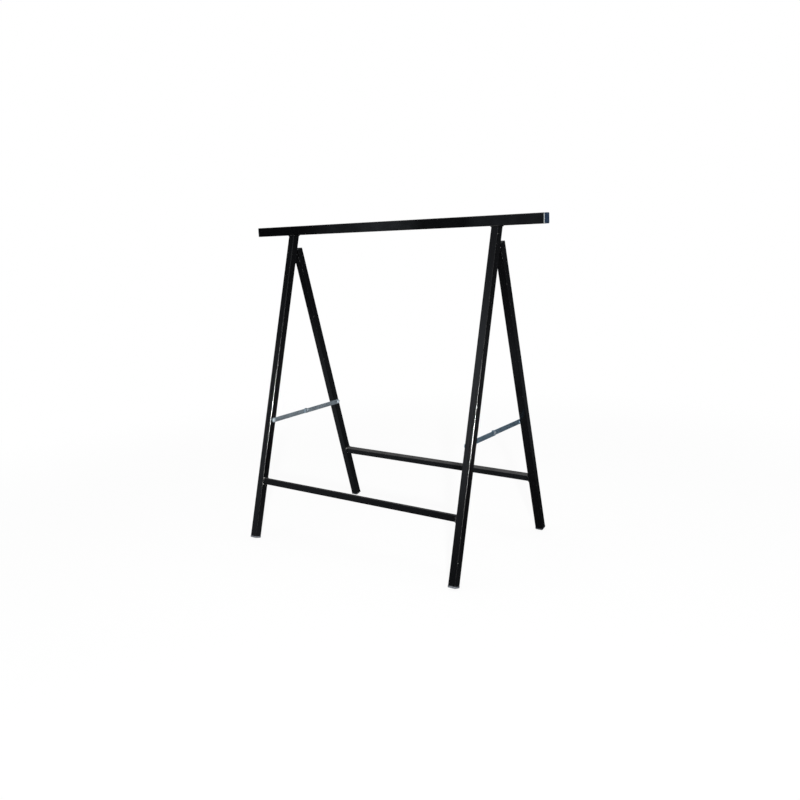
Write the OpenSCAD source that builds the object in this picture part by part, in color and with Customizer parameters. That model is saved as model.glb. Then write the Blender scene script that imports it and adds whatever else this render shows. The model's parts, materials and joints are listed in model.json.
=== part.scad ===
// Folding builders trestle: a welded front frame that carries the beam, a rear frame hinged behind it,
// and a two-strap folding stay inside each pair of legs. Shown open, standing on the floor at z = 0,
// with the origin midway between the feet. X runs along the beam, the front legs reach towards -Y and
// the rear legs towards +Y.

/* [Beam] */
// Height of the beam's top face above the floor
height = 1022; // [700:1:1400]
// Length of the beam's tube
beam_l = 1095; // [900:1:1600]
// Side of the beam's square tube
beam_w = 30; // [28:0.5:50]
// Wall of the beam's tube
beam_wall = 2; // [1.2:0.1:3]
// Outer corner radius of the beam's tube
beam_corner_r = 3; // [1.5:0.1:5]
// Thickness of the cap on each end of the beam
beam_cap_t = 2.5; // [2:0.1:6]

/* [Legs] */
// Length of the beam's tube past the leg centres at each end
beam_overhang = 153.5; // [60:0.5:250]
// Side of the legs' square tube
leg_w = 25; // [20:0.5:28]
// Wall of the legs' tube
leg_wall = 1.6; // [1.2:0.1:2.5]
// Outer corner radius of the legs' tube
leg_corner_r = 3; // [1.5:0.1:4]
// Lean of the front legs from upright, in degrees
front_lean = 16.5; // [12:0.1:20]
// Lean of the rear legs from upright, in degrees
rear_lean = 14; // [12:0.1:20]
// Thickness of the foot caps below the tube
foot_t = 6; // [3:0.1:12]
// How far the foot caps stand proud of the tube
foot_proud = 0.5; // [0.2:0.1:2]
// Thickness of the cap on top of each rear leg
top_cap_t = 2; // [1:0.1:4]

/* [Crossbars] */
// Side of the crossbars' square tube
bar_w = 20; // [12:0.5:25]
// Wall of the crossbars' tube
bar_wall = 1.6; // [1.2:0.1:2.5]
// Outer corner radius of the crossbars' tube
bar_corner_r = 2.5; // [1.5:0.1:4]
// Height of the front crossbar's centre
front_bar_z = 188; // [80:1:300]
// Height of the rear crossbar's centre
rear_bar_z = 189; // [80:1:300]

/* [Hinges] */
// Diameter of the hinge knuckles
knuckle_d = 9; // [8:0.1:14]
// Diameter of the hinge pin
pin_d = 5; // [3:0.1:6]
// Thickness of the hinge leaves
leaf_t = 2.5; // [1.5:0.1:3]
// Length of the hinge leaves, down from the pin
leaf_l = 30; // [20:1:60]
// Clearance between the knuckles and the legs' faces
knuckle_room = 0.5; // [0.3:0.1:2]

/* [Stays] */
// Height of the stays when the trestle is open
stay_z = 386; // [320:1:480]
// Width of the straps
strap_w = 15; // [12:0.5:20]
// Thickness of the straps
strap_t = 2.5; // [2:0.1:4]
// Space between the front strap and the legs' inner faces
strap_room = 1.6; // [1.4:0.1:6]
// Diameter of the stay rivets
rivet_d = 6; // [4:0.1:8]
// Diameter of the stay rivets' heads
rivet_head_d = 12; // [10:0.1:14]
// Height of the stay rivets' heads
rivet_head_h = 1.6; // [1.2:0.1:2.2]
// Length of the rear strap past the knuckle rivet
stop_l = 12; // [10:0.1:20]

/* [Hidden] */
$fn = 64;
// Radial clearance of a pin or rivet in its hole
fit_gap = 0.05;
// Clearance between pieces that slide past each other
slide_gap = 0.3;
// Overrun of every cut past the face that it opens
overrun = 1;

// Least corner radius inside a tube, as a share of its outer corner radius
least_bore_r_share = 0.25;

// Caps: plug length, core wall, fins that grip the tube, and the rounding of their outer edges
plug_l = 18;
plug_wall = 1.5;
fin_count = 4;
fin_t = 1.2;
fin_depth = 1.4;
cap_edge_r = 1.2;
top_cap_edge_r = 0.5;

// Small sizes of the hinge pin, the rivets, the spacers and the stop lip
pin_head_d = 7.5;
pin_head_h = 1.5;
rivet_tail_d = 9;
rivet_tail_h = 2;
knuckle_tail_h = 1;
spacer_d = 12;
washer_d = 14;
lip_t = 1.5;
lip_l = 8;

// The legs' axes cross at the middle of the beam's underside
under_z = height - beam_w;
leg_spacing = beam_l - 2 * beam_overhang;
inner_x = (leg_spacing - leg_w) / 2;
foot_w = leg_w + 2 * foot_proud;

// Half the angle between the front and rear legs, and the tilt of the plane midway between them
half_spread = (front_lean + rear_lean) / 2;
mid_tilt = (rear_lean - front_lean) / 2;

// The tops of the rear legs, as distances down their axis from that crossing
cap_top_s = leg_w / 2 / tan(half_spread) + slide_gap / sin(2 * half_spread);
rear_top_s = cap_top_s + top_cap_t;

// The hinge pin lies midway between the facing sides of the front and rear legs
knuckle_r = knuckle_d / 2;
face_off = knuckle_r + knuckle_room;
pivot_s = (leg_w / 2 + face_off) / sin(half_spread);
hinge_w = leg_w - 2 * leg_corner_r;
knuckle_l = (hinge_w - 2 * slide_gap) / 3;

// The stay lies level between the leg axes and its straps meet halfway, the front strap next to the legs
front_rivet_y = -(under_z - stay_z) * tan(front_lean);
rear_rivet_y = (under_z - stay_z) * tan(rear_lean);
knuckle_y = (front_rivet_y + rear_rivet_y) / 2;
strap_l = (rear_rivet_y - front_rivet_y) / 2;
front_layer = strap_room;
rear_layer = front_layer + strap_t + slide_gap;
rivet_hole_d = rivet_d + 2 * fit_gap;

// Which side and which frame a piece belongs to
left = -1;
right = 1;
front = -1;
rear = 1;

// Finishes
black_paint = [0.07, 0.07, 0.08];
zinc = [0.55, 0.58, 0.62];
black_plastic = [0.1, 0.1, 0.1];
cap_plastic = [0.2, 0.27, 0.36];

// The lean of the legs in a row
function lean(row) = row == front ? front_lean : rear_lean;

// The distance down a leg's axis to the foot's outer face; a foot stands on its rounded edge
function foot_s(row) =
  cap_edge_r + (under_z - cap_edge_r - (foot_w / 2 - cap_edge_r) * sin(lean(row))) / cos(lean(row));

// The distance down a leg's axis to the end of its tube
function leg_end_s(row) = foot_s(row) - foot_t;

// How far a foot reaches out from under the beam's middle
function foot_reach(row) =
  (foot_s(row) - cap_edge_r) * sin(lean(row)) + (foot_w / 2 - cap_edge_r) * cos(lean(row)) + cap_edge_r;

// The beam's middle, so that the front and rear feet stand equally far from y = 0
beam_y = (foot_reach(front) - foot_reach(rear)) / 2;

// A square with rounded corners
module round_square(w, r) {
  square([w, w - 2 * r], center = true);
  square([w - 2 * r, w], center = true);
  for (i = [-1, 1], j = [-1, 1])
    translate([i * (w / 2 - r), j * (w / 2 - r)])
      circle(r);
}

// The corner radius inside a square tube
function bore_r(r, wall) = max(r - wall, r * least_bore_r_share);

// The section of a square tube
module tube_section(w, wall, r) {
  difference() {
    round_square(w, r);
    round_square(w - 2 * wall, bore_r(r, wall));
  }
}

// A length of square tube along X, centred
module bar_along_x(l, w, wall, r) {
  rotate([90, 0, 90])
    linear_extrude(l, center = true)
      tube_section(w, wall, r);
}

// Half the section of a cap's flange, t thick and reach wide from its middle, its outer edge rounded
module half_flange(reach, t, edge_r) {
  square([reach - edge_r, t]);
  translate([0, edge_r])
    square([reach, t - edge_r]);
  intersection() {
    translate([reach - edge_r, edge_r]) circle(edge_r);
    translate([reach - edge_r, 0]) square(edge_r);
  }
}

// A square flange of corner radius r with its outer face at z = 0 and that face's edges rounded
module cap_flange(w, r, t, edge_r) {
  for (turn = [0, 90])
    rotate([90, 0, turn])
      linear_extrude(w - 2 * r, center = true) {
        half_flange(w / 2, t, edge_r);
        mirror([1, 0]) half_flange(w / 2, t, edge_r);
      }
  for (i = [-1, 1], j = [-1, 1])
    translate([i * (w / 2 - r), j * (w / 2 - r), 0])
      rotate_extrude()
        half_flange(r, t, edge_r);
}

// A push-in cap for a tube of side w: the flange's outer face at z = 0, its finned plug pointing up
module tube_cap(w, wall, r, t, proud, edge_r) {
  bore_w = w - 2 * wall;
  core_w = bore_w - 2 * fin_depth;
  fin_pitch = plug_l / fin_count;
  cap_flange(w + 2 * proud, r + proud, t, edge_r);
  translate([0, 0, t])
    linear_extrude(plug_l)
      difference() {
        square(core_w, center = true);
        square(core_w - 2 * plug_wall, center = true);
      }
  for (i = [1 : fin_count])
    translate([0, 0, t + i * fin_pitch - fin_t])
      linear_extrude(fin_t)
        difference() {
          round_square(bore_w - 2 * fit_gap, bore_r(r, wall));
          square(core_w - 2 * plug_wall, center = true);
        }
}

// Places its children on a leg's axis, s below the crossing, with local Z up the leg
module on_leg(side, row, s) {
  translate([side * leg_spacing / 2, beam_y, under_z])
    rotate([row * lean(row), 0, 0])
      translate([0, 0, -s])
        children();
}

// Places its children on a hinge pin's axis, with local Z up the plane midway between the legs
module on_hinge(side) {
  translate([side * leg_spacing / 2, beam_y, under_z])
    rotate([mid_tilt, 0, 0])
      translate([0, 0, -pivot_s])
        children();
}

// Places its children on a stay, y behind the beam's middle, with local Z inwards from the leg's inner face
module on_stay(side, y) {
  translate([side * inner_x, beam_y + y, stay_z])
    rotate([0, -side * 90, 0])
      children();
}

// A domed rivet head that rises from z = 0
module rivet_head(d, h) {
  dome_r = (d * d / 4 + h * h) / (2 * h);
  intersection() {
    translate([0, 0, h - dome_r]) sphere(dome_r);
    cylinder(h = h, d = d);
  }
}

module top_beam() {
  color(black_paint)
    translate([0, beam_y, height - beam_w / 2])
      bar_along_x(beam_l, beam_w, beam_wall, beam_corner_r);
}

module beam_end_cap(side) {
  color(cap_plastic)
    translate([side * (beam_l / 2 + beam_cap_t), beam_y, height - beam_w / 2])
      rotate([0, -side * 90, 0])
        tube_cap(beam_w, beam_wall, beam_corner_r, beam_cap_t, 0, cap_edge_r);
}

module front_leg(side) {
  mitre_h = leg_w * tan(front_lean);
  color(black_paint)
    difference() {
      on_leg(side, front, leg_end_s(front))
        linear_extrude(leg_end_s(front) + mitre_h)
          tube_section(leg_w, leg_wall, leg_corner_r);
      translate([side * leg_spacing / 2 - leg_w, beam_y - leg_w, under_z])
        cube([2 * leg_w, 2 * leg_w, 2 * mitre_h]);
      on_stay(side, front_rivet_y)
        translate([0, 0, -leg_w / 2])
          cylinder(h = leg_w / 2 + overrun, d = rivet_hole_d);
    }
}

module rear_leg(side) {
  color(black_paint)
    on_leg(side, rear, leg_end_s(rear))
      linear_extrude(leg_end_s(rear) - rear_top_s)
        tube_section(leg_w, leg_wall, leg_corner_r);
}

module crossbar(row, z) {
  color(black_paint)
    translate([0, beam_y + row * (under_z - z) * tan(lean(row)), z])
      rotate([row * lean(row), 0, 0])
        bar_along_x(2 * inner_x, bar_w, bar_wall, bar_corner_r);
}

module foot_cap(side, row) {
  color(black_plastic)
    on_leg(side, row, foot_s(row))
      tube_cap(leg_w, leg_wall, leg_corner_r, foot_t, foot_proud, cap_edge_r);
}

module rear_top_cap(side) {
  color(black_plastic)
    on_leg(side, rear, cap_top_s)
      rotate([180, 0, 0])
        tube_cap(leg_w, leg_wall, leg_corner_r, top_cap_t, 0, top_cap_edge_r);
}

// One leaf of a hinge with the knuckles listed by place, -1, 0 or 1 along the pin
module hinge_leaf(side, row, places) {
  tab_h = knuckle_r + slide_gap;
  leaf_y = face_off - fit_gap - leaf_t / 2;
  pitch = knuckle_l + slide_gap;
  color(black_paint)
    on_hinge(side)
      rotate([row * half_spread, 0, 0])
        difference() {
          union() {
            translate([-hinge_w / 2, row * leaf_y - leaf_t / 2, -leaf_l])
              cube([hinge_w, leaf_t, leaf_l - tab_h]);
            for (i = places)
              translate([i * pitch - knuckle_l / 2, 0, 0]) {
                translate([0, row * leaf_y - leaf_t / 2, -tab_h])
                  cube([knuckle_l, leaf_t, tab_h]);
                rotate([0, 90, 0])
                  cylinder(h = knuckle_l, d = knuckle_d);
              }
          }
          rotate([0, 90, 0])
            cylinder(h = hinge_w + 2 * overrun, d = pin_d + 2 * fit_gap, center = true);
        }
}

module hinge_pin(side) {
  shank_l = hinge_w + 2 * fit_gap;
  color(black_paint)
    on_hinge(side)
      rotate([0, 90, 0]) {
        cylinder(h = shank_l, d = pin_d, center = true);
        for (end = [0, 180])
          rotate([end, 0, 0])
            translate([0, 0, shank_l / 2])
              rivet_head(pin_head_d, pin_head_h);
      }
}

module front_stay_rivet(side) {
  head_face = front_layer + strap_t + slide_gap;
  color(zinc)
    on_stay(side, front_rivet_y) {
      translate([0, 0, -leg_wall - rivet_tail_h])
        cylinder(h = rivet_tail_h, d = rivet_tail_d);
      translate([0, 0, -leg_wall])
        cylinder(h = leg_wall + head_face, d = rivet_d);
      translate([0, 0, head_face])
        rivet_head(rivet_head_d, rivet_head_h);
    }
}

module front_stay_spacer(side) {
  color(zinc)
    on_stay(side, front_rivet_y)
      difference() {
        cylinder(h = front_layer - slide_gap, d = spacer_d);
        translate([0, 0, -overrun])
          cylinder(h = front_layer + overrun, d = rivet_hole_d);
      }
}

// A flat strap from one rivet hole to the other along Y, before its holes are drilled
module strap_blank(layer) {
  translate([0, 0, layer]) {
    cylinder(h = strap_t, d = strap_w);
    translate([-strap_w / 2, 0, 0])
      cube([strap_w, strap_l, strap_t]);
    translate([0, strap_l, 0])
      cylinder(h = strap_t, d = strap_w);
  }
}

// The two rivet holes of a strap
module strap_holes(layer) {
  for (end = [0, strap_l])
    translate([0, end, layer - overrun])
      cylinder(h = strap_t + 2 * overrun, d = rivet_hole_d);
}

module front_strap(side) {
  color(zinc)
    on_stay(side, front_rivet_y)
      difference() {
        strap_blank(front_layer);
        strap_holes(front_layer);
      }
}

// The rear strap runs past the knuckle, where a lip over the front strap's upper edge stops it at straight
module rear_strap(side) {
  lip_x = strap_w / 2 + slide_gap;
  lip_end = lip_x + lip_t;
  lip_reach = 2 * strap_t + slide_gap;
  color(zinc)
    on_stay(side, knuckle_y)
      difference() {
        union() {
          strap_blank(rear_layer);
          translate([-strap_w / 2, -stop_l, rear_layer])
            cube([strap_w, stop_l, strap_t]);
          translate([side > 0 ? strap_w / 2 : -lip_end, -stop_l, rear_layer])
            cube([lip_end - strap_w / 2, lip_l, strap_t]);
          translate([side > 0 ? lip_x : -lip_end, -stop_l, front_layer])
            cube([lip_t, lip_l, lip_reach]);
        }
        strap_holes(rear_layer);
      }
}

module knuckle_rivet(side) {
  head_face = rear_layer + strap_t + slide_gap;
  color(zinc)
    on_stay(side, knuckle_y) {
      translate([0, 0, front_layer])
        rotate([180, 0, 0])
          rivet_head(rivet_head_d, knuckle_tail_h);
      translate([0, 0, front_layer])
        cylinder(h = head_face - front_layer, d = rivet_d);
      translate([0, 0, head_face])
        rivet_head(rivet_head_d, rivet_head_h);
    }
}

module rear_stay_rivet(side) {
  color(zinc)
    on_stay(side, rear_rivet_y) {
      translate([0, 0, slide_gap])
        cylinder(h = rear_layer + strap_t - slide_gap, d = rivet_d);
      translate([0, 0, rear_layer + strap_t])
        rivet_head(rivet_head_d, rivet_head_h);
    }
}

module rear_stay_washer(side) {
  color(zinc)
    on_stay(side, rear_rivet_y)
      difference() {
        translate([0, 0, slide_gap])
          cylinder(h = rear_layer - slide_gap, d = washer_d);
        cylinder(h = rear_layer + overrun, d = rivet_hole_d);
      }
}

top_beam();
beam_end_cap(left);  // beam_end_cap_left
beam_end_cap(right);  // beam_end_cap_right
front_leg(left);  // front_leg_left
front_leg(right);  // front_leg_right
crossbar(front, front_bar_z);  // front_crossbar
foot_cap(left, front);  // front_foot_cap_left
foot_cap(right, front);  // front_foot_cap_right
rear_leg(left);  // rear_leg_left
rear_leg(right);  // rear_leg_right
crossbar(rear, rear_bar_z);  // rear_crossbar
foot_cap(left, rear);  // rear_foot_cap_left
foot_cap(right, rear);  // rear_foot_cap_right
rear_top_cap(left);  // rear_top_cap_left
rear_top_cap(right);  // rear_top_cap_right
hinge_leaf(left, front, [-1, 1]);  // hinge_front_leaf_left
hinge_leaf(right, front, [-1, 1]);  // hinge_front_leaf_right
hinge_leaf(left, rear, [0]);  // hinge_rear_leaf_left
hinge_leaf(right, rear, [0]);  // hinge_rear_leaf_right
hinge_pin(left);  // hinge_pin_left
hinge_pin(right);  // hinge_pin_right
front_stay_rivet(left);  // front_stay_rivet_left
front_stay_rivet(right);  // front_stay_rivet_right
front_stay_spacer(left);  // front_stay_spacer_left
front_stay_spacer(right);  // front_stay_spacer_right
front_strap(left);  // front_strap_left
front_strap(right);  // front_strap_right
knuckle_rivet(left);  // knuckle_rivet_left
knuckle_rivet(right);  // knuckle_rivet_right
rear_strap(left);  // rear_strap_left
rear_strap(right);  // rear_strap_right
rear_stay_rivet(left);  // rear_stay_rivet_left
rear_stay_rivet(right);  // rear_stay_rivet_right
rear_stay_washer(left);  // rear_stay_washer_left
rear_stay_washer(right);  // rear_stay_washer_right
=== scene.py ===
"""Finishes, weld beads and studio of a folding builders trestle, laid out as a Blender add-on."""

import json
import math

import bpy
from bpy.props import FloatProperty, FloatVectorProperty, IntProperty, PointerProperty
from mathutils import Matrix, Vector


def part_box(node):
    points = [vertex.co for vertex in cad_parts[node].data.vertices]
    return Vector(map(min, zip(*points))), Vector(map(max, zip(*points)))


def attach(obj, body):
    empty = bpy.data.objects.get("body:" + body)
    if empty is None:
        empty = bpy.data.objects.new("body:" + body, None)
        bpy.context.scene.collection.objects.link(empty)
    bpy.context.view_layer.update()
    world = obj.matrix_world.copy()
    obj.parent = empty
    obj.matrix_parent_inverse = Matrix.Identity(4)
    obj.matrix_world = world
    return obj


bl_info = {
    "name": "Builders Trestle Finishes",
    "version": (1, 0, 0),
    "blender": (4, 5, 0),
    "location": "3D View > Sidebar > Trestle",
    "description": "Enamel, zinc plate, moulded caps and weld beads for a folding builders trestle",
    "category": "Object",
}

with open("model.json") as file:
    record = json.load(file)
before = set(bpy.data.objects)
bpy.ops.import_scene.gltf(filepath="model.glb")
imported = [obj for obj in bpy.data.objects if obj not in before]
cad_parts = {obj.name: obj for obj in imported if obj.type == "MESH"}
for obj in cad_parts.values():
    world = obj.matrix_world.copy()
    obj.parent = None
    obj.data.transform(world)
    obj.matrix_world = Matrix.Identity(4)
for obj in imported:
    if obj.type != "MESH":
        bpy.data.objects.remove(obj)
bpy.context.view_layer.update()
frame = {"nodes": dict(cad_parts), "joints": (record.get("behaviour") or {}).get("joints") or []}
MM = 0.001

# Which side and which frame a piece belongs to
LEFT, RIGHT = -1, 1
FRONT, REAR = -1, 1
ROWS = {FRONT: "front", REAR: "rear"}

# Places and sizes that the frame gives
JOINT_PLACES = {joint["name"]: Vector(joint["pos_m"]) for joint in frame["joints"]}
FOLD_PIVOT = JOINT_PLACES["rear_frame_fold"]
STAY_PIVOT = JOINT_PLACES["right_front_strap_turn"]
KNUCKLE = JOINT_PLACES["right_knuckle_turn"]
REAR_PIVOT = 2 * KNUCKLE - STAY_PIVOT
BEAM_LOW, BEAM_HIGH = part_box("top_beam")
LEG_LOW, LEG_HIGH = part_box("front_leg_right")
BEAM_SIDE = BEAM_HIGH.z - BEAM_LOW.z
LEG_SIDE = LEG_HIGH.x - LEG_LOW.x
LEG_X = (LEG_HIGH.x + LEG_LOW.x) / 2
CROSSING = Vector((0.0, (BEAM_LOW.y + BEAM_HIGH.y) / 2, BEAM_LOW.z))
LEANS = {
    FRONT: math.atan2(CROSSING.y - STAY_PIVOT.y, CROSSING.z - STAY_PIVOT.z),
    REAR: math.atan2(REAR_PIVOT.y - CROSSING.y, CROSSING.z - REAR_PIVOT.z),
}
HALF_SPREAD = (LEANS[FRONT] + LEANS[REAR]) / 2
HINGE_GAP = (CROSSING - FOLD_PIVOT).length * math.sin(HALF_SPREAD) - LEG_SIDE / 2
LEAF_LOW, LEAF_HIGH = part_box("hinge_front_leaf_right")
LEAF_WIDTH = LEAF_HIGH.x - LEAF_LOW.x
LEAF_DROP = (FOLD_PIVOT.z - LEAF_LOW.z) / math.cos(LEANS[FRONT])


def middle_of(node):
    """The middle of a CAD node's box."""
    low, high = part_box(node)
    return (low + high) / 2


BAR_PLACES = {row: middle_of(f"{name}_crossbar") for row, name in ROWS.items()}


# Settings

def number_setting(name, description, default, **kind):
    """A number, with its unit or subtype where one fits."""
    return FloatProperty(name=name, description=description, default=default, **kind)


def length_setting(name, description, default):
    """A length."""
    return number_setting(name, description, default, unit="LENGTH")


def share_setting(name, description, default):
    """A share of the whole."""
    return number_setting(name, description, default, subtype="FACTOR", min=0.0, max=1.0)


def vector_setting(name, description, default, **kind):
    """Three numbers, with their unit or subtype."""
    return FloatVectorProperty(name=name, description=description, default=default, **kind)


def colour_setting(name, description, default, **limits):
    """A colour."""
    return vector_setting(name, description, default, subtype="COLOR", **limits)


def place_setting(name, description, default):
    """A place in the scene."""
    return vector_setting(name, description, default, subtype="XYZ", unit="LENGTH")


class TrestleEnamelSettings(bpy.types.PropertyGroup):
    """The black enamel on the tubes, hinges and welds."""

    colour: colour_setting("Colour", "Colour of the clean enamel", (0.0010, 0.0010, 0.0012))
    # Painted sheen: this lighter colour stands in for the reflection on the beam and the rear crossbar.
    painted_sheen_colour: colour_setting(
        "Painted Sheen Colour", "Colour of the painted sheen on the enamel", (0.0105, 0.0116, 0.0130)
    )
    dust_colour: colour_setting(
        "Dust Colour", "Colour of the dust that settles on upper faces", (0.142, 0.139, 0.136)
    )
    steel_colour: colour_setting(
        "Steel Colour", "Colour of the steel where the enamel is chipped off", (0.46, 0.45, 0.43)
    )
    roughness: share_setting("Roughness", "Roughness of the clean enamel", 0.14)
    weld_roughness: share_setting("Weld Roughness", "Roughness of the enamel over the weld beads", 0.32)
    leg_gloss: share_setting(
        "Leg Gloss", "Strength of the legs' reflection, where one half is plain paint", 0.8
    )
    bar_gloss: share_setting(
        "Crossbar Gloss", "Strength of the crossbars' reflection, where one half is plain paint", 0.36
    )
    beam_gloss: share_setting(
        "Beam Gloss", "Strength of the beam's reflection, where one half is plain paint", 0.05
    )
    peel_size: length_setting("Orange Peel Size", "Width of the small dimples of sprayed enamel", 3.2 * MM)
    peel_depth: length_setting(
        "Orange Peel Depth", "Depth of the small dimples of sprayed enamel", 0.004 * MM
    )
    wave_depth: length_setting("Wave Depth", "Depth of the long waves in the drawn tube", 0.03 * MM)
    bar_side: length_setting("Crossbar Side", "Side of the crossbars' square tube", 20 * MM)
    corner: length_setting("Tube Corner", "Corner radius of the square tubes", 3 * MM)


class TrestleZincSettings(bpy.types.PropertyGroup):
    """The zinc plate on the stays and their rivets."""

    strap_colour: colour_setting(
        "Strap Colour", "Colour of the left straps' zinc plate", (0.45, 0.53, 0.59)
    )
    # Painted shade: the right straps get this darker copy of the zinc because they lie in shade.
    shaded_strap_colour: colour_setting(
        "Shaded Strap Colour", "Colour of the right straps' zinc plate, darkened as painted shade", (0.24, 0.35, 0.45)
    )
    rivet_colour: colour_setting("Rivet Colour", "Colour of the rivets' zinc plate", (0.62, 0.71, 0.78))
    strap_metal: share_setting("Strap Metal", "How metallic the straps look", 0.82)
    rivet_metal: share_setting("Rivet Metal", "How metallic the rivets look under their pale bloom", 0.35)
    spangle_size: length_setting("Spangle Size", "Width of the crystals in the zinc", 5 * MM)
    rub_radius: length_setting(
        "Rub Radius", "Radius of the ring that each pivot rubs into the strap", 8 * MM
    )


class TrestlePlasticSettings(bpy.types.PropertyGroup):
    """The moulded caps and feet."""

    foot_colour: colour_setting(
        "Foot Colour", "Colour of the feet and of the caps on the rear legs", (0.004, 0.004, 0.0044)
    )
    scuff_colour: colour_setting(
        "Scuff Colour", "Colour of the feet where the floor has scuffed them", (0.12, 0.13, 0.145)
    )
    cap_colour: colour_setting(
        "Beam Cap Colour", "Colour of the caps in the beam's ends", (0.015, 0.032, 0.064)
    )
    # Painted highlight: this pale colour on the caps' front edges stands in for the lamp's highlight.
    cap_edge_highlight_colour: colour_setting(
        "Beam Cap Edge Highlight Colour", "Colour of the painted highlight on the beam caps' edges", (0.23, 0.25, 0.25)
    )
    grain_size: length_setting("Grain Size", "Width of the grain that the mould leaves", 0.7 * MM)


class TrestleWeldSettings(bpy.types.PropertyGroup):
    """The weld beads that join the tubes and hinges."""

    bead_radius: length_setting("Bead Radius", "Radius of the weld beads round the tubes", 2.1 * MM)
    leaf_bead_radius: length_setting(
        "Leaf Bead Radius", "Radius of the weld beads along the hinge leaves", 1.3 * MM
    )
    ripple_step: length_setting("Ripple Step", "Distance from one ripple of a bead to the next", 1.7 * MM)
    unevenness: share_setting("Unevenness", "How much the ripples differ in size", 0.16)
    seed: IntProperty(name="Seed", description="Start of the ripples' random sizes", default=7)


class TrestleStageSettings(bpy.types.PropertyGroup):
    """The camera, the lamps, the floor and the cards that the gloss mirrors."""

    camera_place: place_setting("Camera Place", "Where the camera stands", (1.57246, -2.06825, 0.99357))
    camera_aim: place_setting("Camera Aim", "The point that the camera looks at", (0.03814, 0.0, 0.45979))
    camera_roll: number_setting(
        "Camera Roll", "Turn of the camera about its own axis", math.radians(-2.727), subtype="ANGLE"
    )
    camera_lens: number_setting("Camera Lens", "Focal length on a 36 mm sensor", 36.8928, unit="CAMERA")
    flash_distance: length_setting(
        "Flash Distance", "Distance of the flash from the trestle, in line with the camera", 5.0
    )
    flash_height: length_setting("Flash Height", "Height of the flash above the floor", 1.57)
    flash_size: length_setting("Flash Size", "Side of the flash's soft box", 0.20)
    flash_power: number_setting("Flash Power", "Power of the flash in watts", 260.0, unit="POWER")
    overhead_height: length_setting("Overhead Height", "Height of the soft box over the trestle", 3.4)
    overhead_size: length_setting("Overhead Size", "Side of the soft box over the trestle", 2.6)
    overhead_power: number_setting(
        "Overhead Power", "Power of the soft box over the trestle in watts", 40.0, unit="POWER"
    )
    ambient: number_setting("Ambient", "Strength of the light from all round", 0.36)
    floor_shade: share_setting(
        "Floor Shade", "How much of the floor's white is left to the lamps, so that it keeps a shadow", 0.10
    )
    floor_reach: length_setting("Floor Reach", "Radius of the floor", 60.0)
    card_reach: length_setting("Card Reach", "Radius of the wall of cards round the trestle", 9.0)
    card_height: length_setting("Card Height", "Height of the wall of cards round the trestle", 9.0)
    card_tint: colour_setting(
        "Card Tint", "Share of red, green and blue in the cards' light", (0.93, 1.0, 1.10), soft_max=2.0
    )


def settings(name):
    """The scene's settings of one kind."""
    return getattr(bpy.context.scene, name)


# Node helpers

def empty_nodes(owner):
    """The node tree of a material or world, without the nodes that it starts with."""
    owner.use_nodes = True
    owner.node_tree.nodes.clear()
    return owner.node_tree


def add_node(tree, kind, inputs=None, **choices):
    """Adds a node, sets its choices, and sets or links its inputs by name or place."""
    node = tree.nodes.new(kind)
    for choice, value in choices.items():
        setattr(node, choice, value)
    for place, value in (inputs or {}).items():
        socket = node.inputs[place]
        if isinstance(value, bpy.types.NodeSocket):
            tree.links.new(value, socket)
        else:
            socket.default_value = value
    return node


def link_node(kind, inputs, **choices):
    """Adds a node to the tree that its linked inputs come from."""
    tree = next(value.id_data for value in inputs.values() if isinstance(value, bpy.types.NodeSocket))
    return add_node(tree, kind, inputs, **choices)


def calc(operation, first, second=0.0):
    """The result of one sum."""
    return link_node("ShaderNodeMath", {0: first, 1: second}, operation=operation).outputs[0]


def times(first, second):
    """One value times another."""
    return calc("MULTIPLY", first, second)


def raise_by(base, mask, amount):
    """A value raised by an amount where a mask asks for it."""
    return calc("ADD", base, times(mask, amount))


def lower_by(base, mask, amount):
    """A value lowered by an amount where a mask asks for it."""
    return calc("SUBTRACT", base, times(mask, amount))


def ease(value, low, high):
    """A value that rises smoothly from 0 at low to 1 at high."""
    inputs = {"Value": value, "From Min": low, "From Max": high}
    return link_node("ShaderNodeMapRange", inputs, interpolation_type="SMOOTHSTEP").outputs["Result"]


def span(value, low, high):
    """A value from 0 to 1 moved to the span from low to high."""
    inputs = {"Value": value, "To Min": low, "To Max": high}
    return link_node("ShaderNodeMapRange", inputs).outputs["Result"]


def axes(vector):
    """The X, Y and Z of a vector."""
    return link_node("ShaderNodeSeparateXYZ", {0: vector}).outputs


def join_axes(*values):
    """A vector from its X, Y and Z, where those left out are 0."""
    return link_node("ShaderNodeCombineXYZ", dict(enumerate(values))).outputs[0]


def vector_calc(operation, first, second):
    """The vector that one sum of two vectors gives."""
    return link_node("ShaderNodeVectorMath", {0: first, 1: second}, operation=operation).outputs[0]


def vector_measure(operation, *vectors):
    """A number measured on one or two vectors."""
    inputs = dict(enumerate(vectors))
    return link_node("ShaderNodeVectorMath", inputs, operation=operation).outputs["Value"]


def shaded(colour, level):
    """A colour times a level."""
    inputs = {0: colour, "Scale": level}
    return link_node("ShaderNodeVectorMath", inputs, operation="SCALE").outputs[0]


def tint(share, first, second):
    """A colour between the first and the second."""
    node = link_node("ShaderNodeMix", {0: share, 6: first, 7: second}, data_type="RGBA")
    return node.outputs[2]


def noise(vector, scale, detail=2.0, roughness=0.5):
    """A soft random pattern from 0 to 1."""
    inputs = {"Vector": vector, "Scale": scale, "Detail": detail, "Roughness": roughness}
    return link_node("ShaderNodeTexNoise", inputs).outputs["Fac"]


def stretch(vector, scale):
    """A vector with each axis scaled by itself."""
    return link_node("ShaderNodeMapping", {"Vector": vector, "Scale": scale}).outputs["Vector"]


def seen_from(coordinates, place, turn):
    """A point of the surface as it lies from a place, in axes turned there."""
    inputs = {"Vector": coordinates["Object"], "Location": place, "Rotation": turn}
    return link_node("ShaderNodeMapping", inputs, vector_type="TEXTURE").outputs["Vector"]


def opaque(colour):
    """A colour with its alpha."""
    return (*colour, 1.0)


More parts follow.
